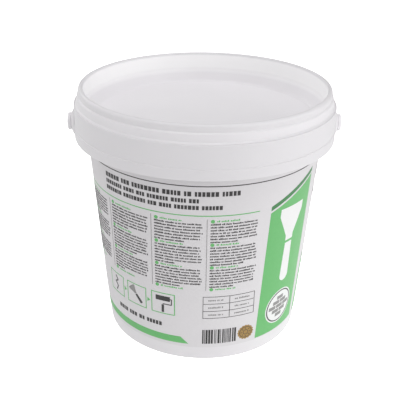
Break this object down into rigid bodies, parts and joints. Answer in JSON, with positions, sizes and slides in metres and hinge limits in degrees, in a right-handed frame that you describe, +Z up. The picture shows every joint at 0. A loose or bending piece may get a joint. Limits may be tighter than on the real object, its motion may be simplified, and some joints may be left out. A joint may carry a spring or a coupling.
{
  "type": "wall filler tub",
  "caption": "Round tapered plastic tub of wall filler with a guarded rim, bare handle studs, a recessed push-on lid, a wrap-around printed label and paste inside.",
  "frame": {"origin": "middle of the tub's foot, on the surface that it stands on", "axes": "+Z up along the tub's axis; +X along the axis through the two handle studs; -Y towards the side of the label that the picture shows"},
  "size_m": [0.1408, 0.1336, 0.1321],
  "materials": {
    "tub_plastic": "satin white moulded polypropylene",
    "lid_plastic": "satin white moulded polypropylene, slightly softer than the tub",
    "label_film": "printed plastic film, white with green panels and dark small print",
    "filler_paste": "matt off-white soft paste"
  },
  "bodies": {
    "tub": {"tub": "tub_plastic", "label": "label_film", "paste": "filler_paste"},
    "lid": {"lid": "lid_plastic"}
  },
  "joints": [
    {"name": "lid_lift", "type": "slide", "parent": "tub", "child": "lid", "axis": [0, 0, 1], "range_m": [0, 0.09]}
  ]
}
